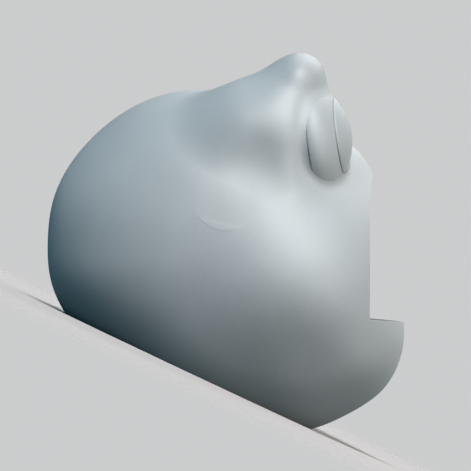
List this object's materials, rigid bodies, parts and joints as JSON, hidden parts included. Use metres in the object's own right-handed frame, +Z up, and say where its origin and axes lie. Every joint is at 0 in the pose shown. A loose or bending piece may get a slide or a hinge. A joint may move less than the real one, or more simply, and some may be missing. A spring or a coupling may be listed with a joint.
{
  "type": "frog mask",
  "caption": "Rigid wearable frog-head mask: hollow shell with domed eyes under raised brows and an open mouth for the wearer's face.",
  "frame": {"origin": "on the floor under the middle of the object's bounding box, in the plane of the neck rim", "axes": "-Y is the way the frog's mouth faces, tipped up because the mask rests on its neck rim, +Z up, +X the wearer's left; the mask is mirrored about X = 0"},
  "size_m": [0.2442, 0.3072, 0.2699],
  "materials": {
    "shell": "smooth satin-matt, pale cool grey",
    "eyeball": "smooth satin, pale cool grey",
    "iris": "smooth satin, pale cool grey"
  },
  "bodies": {
    "root": {"mask_shell": "shell", "eyeball_right": "eyeball", "eyeball_left": "eyeball", "iris_right": "iris", "iris_left": "iris"}
  },
  "joints": []
}
